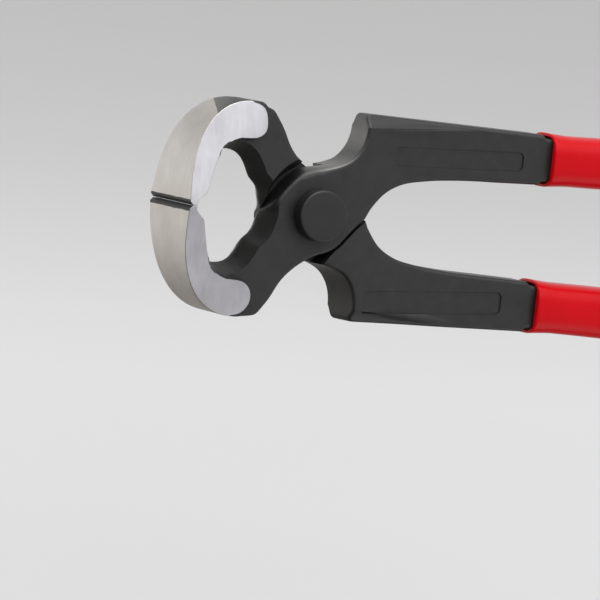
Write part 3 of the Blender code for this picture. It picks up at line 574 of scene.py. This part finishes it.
def grey_by_height(tree, coordinate, stops):
    """A colour that follows (position, hex) stops along a coordinate, from the first to the last position."""
    low, high = stops[0][0], stops[-1][0]
    share = add_node(tree, "MapRange", {"Value": coordinate, "From Min": low, "From Max": high})
    ramp = add_node(tree, "ValToRGB", {"Fac": share.outputs["Result"]})
    elements = ramp.color_ramp.elements
    while len(elements) < len(stops):
        elements.new(0.5)
    for element, (position, hex_code) in zip(elements, stops):
        element.position = (position - low) / (high - low)
        element.color = srgb(hex_code)
    return ramp.outputs["Color"]


def sheet_paint():
    """Matt grey paint under a painted glow whose grey follows Y, and which lights nothing.

    The camera sees the glow darker behind the tool and paler towards the picture's foot, as painted shade. A
    reflection sees another row of greys in its place, a painted reflection: brightest beside the tool, and
    duller towards the near side.
    """
    material = bpy.data.materials.new("grey_paint_with_painted_glow")
    material.use_nodes = True
    tree = material.node_tree
    shader = tree.nodes["Principled BSDF"]
    place = add_node(tree, "SeparateXYZ", {"Vector": add_node(tree, "TexCoord", {}).outputs["Object"]})
    # Painted glow that the camera sees, darker behind the tool
    seen = grey_by_height(tree, place.outputs["Y"],
                          [(-2.5, "#b8b8b8"), (-0.25, "#a8a8a8"), (-0.05, "#a6a6a6"), (0.0, "#7e7e7e"),
                           (0.03, "#686868"), (0.07, "#565656"), (0.25, "#707070"), (1.0, "#a8a8a8"),
                           (2.5, "#b8b8b8")])
    # Painted reflection: the greys that reflections see in the sheet's place
    painted_reflection_greys = grey_by_height(tree, place.outputs["Y"],
                              [(-0.25, "#5c5a58"), (-0.11, "#9a9896"), (-0.05, "#d2cecb"), (0.03, "#f2f2f2"),
                               (0.10, "#b8b8b8"), (0.25, "#dcdcdc")])
    glossy = add_node(tree, "LightPath", {}).outputs["Is Glossy Ray"]
    shader.inputs["Base Color"].default_value = srgb("#b4b4b4")
    shader.inputs["Roughness"].default_value = 0.9
    shader.inputs["Specular IOR Level"].default_value = 0.1
    tree.links.new(seen, shader.inputs["Emission Color"])
    tree.links.new(shown_rays(tree).outputs[0], shader.inputs["Emission Strength"])
    mirror = add_node(tree, "Emission", {"Color": painted_reflection_greys, "Strength": 1.0})
    both = add_node(tree, "MixShader", {0: glossy, 1: shader.outputs[0], 2: mirror.outputs[0]})
    tree.links.new(both.outputs[0], tree.nodes["Material Output"].inputs["Surface"])
    return material


sheet = pale_sheet()
sheet.data.materials.append(sheet_paint())

# The camera stands 1.5 m from the rivet. Its axes were fitted to the tool's corners in the photograph.
camera_distance = 1.5
pixels_per_metre = 4208.0
rivet_pixel = (306.1, 212.6)
picture_width = 600
right = Vector((0.9018, 0.1104, 0.4177)).normalized()
back = Vector((-0.4259, 0.0641, 0.9025))
back = (back - back.dot(right) * right).normalized()
up = back.cross(right)
middle = Vector((0, 0, middle_z))
half_picture = picture_width / 2
off_middle = right * (half_picture - rivet_pixel[0]) - up * (half_picture - rivet_pixel[1])
aim = middle + off_middle / pixels_per_metre
camera_data = bpy.data.cameras.new("camera")
camera_data.sensor_width = 36.0
camera_data.lens = pixels_per_metre * camera_distance * camera_data.sensor_width / picture_width
camera_data.clip_start = 0.05
camera_data.clip_end = 20.0
camera = bpy.data.objects.new("camera", camera_data)
bpy.context.scene.collection.objects.link(camera)
turned = Matrix((right, up, back)).transposed().to_4x4()
camera.matrix_world = Matrix.Translation(aim + back * camera_distance) @ turned
bpy.context.scene.camera = camera


def diffuser(name, place, size, power):
    """A square area lamp at a place, turned to the rivet."""
    lamp_data = bpy.data.lights.new(name, "AREA")
    lamp_data.shape = "SQUARE"
    lamp_data.size = size
    lamp_data.energy = power
    lamp = bpy.data.objects.new(name, lamp_data)
    bpy.context.scene.collection.objects.link(lamp)
    lamp.location = place
    lamp.rotation_euler = (Vector(place) - middle).to_track_quat("Z", "Y").to_euler()


def studio_room():
    """An even grey that lights the tool. The camera sees it pale, and a reflection paler above than below.

    A reflection's grey follows y + 0.7 x of its direction, as beside a bright window on the far right.
    """
    world = bpy.data.worlds.new("studio_room")
    world.use_nodes = True
    tree = world.node_tree
    even = tree.nodes["Background"]
    even.inputs["Color"].default_value = srgb("#ffffff")
    even.inputs["Strength"].default_value = 0.5
    direction = add_node(tree, "SeparateXYZ", {"Vector": add_node(tree, "TexCoord", {}).outputs["Generated"]})
    towards = add_node(tree, "Math", {0: direction.outputs["X"], 1: 0.7, 2: direction.outputs["Y"]},
                       operation="MULTIPLY_ADD")
    tone = grey_by_height(tree, towards.outputs[0],
                          [(-1.2, "#5a5858"), (-0.5, "#8a8888"), (-0.12, "#dcdadb"), (0.23, "#e4e4e6"),
                           (0.6, "#e6e6e8"), (1.2, "#f2f2f4")])
    camera_ray = add_node(tree, "LightPath", {}).outputs["Is Camera Ray"]
    tone = add_node(tree, "Mix", {0: camera_ray, 6: tone, 7: srgb("#e6e6e6")}, data_type="RGBA")
    seen = add_node(tree, "Background", {"Color": tone.outputs[2], "Strength": 1.0})
    shown = shown_rays(tree).outputs[0]
    mixed = add_node(tree, "MixShader", {0: shown, 1: even.outputs[0], 2: seen.outputs[0]})
    tree.links.new(mixed.outputs[0], tree.nodes["World Output"].inputs["Surface"])
    return world


# Each lamp's place, its size in metres and its power in watts
diffuser("key_diffuser", (0.05, 0.95, 0.72), 1.3, 9.5)
diffuser("edge_diffuser", (-0.05, 1.00, 0.08), 0.4, 2.0)
diffuser("fill_diffuser", (0.60, -0.85, 0.35), 0.8, 2.0)
bpy.context.scene.world = studio_room()
bpy.context.scene.view_settings.view_transform = "Standard"
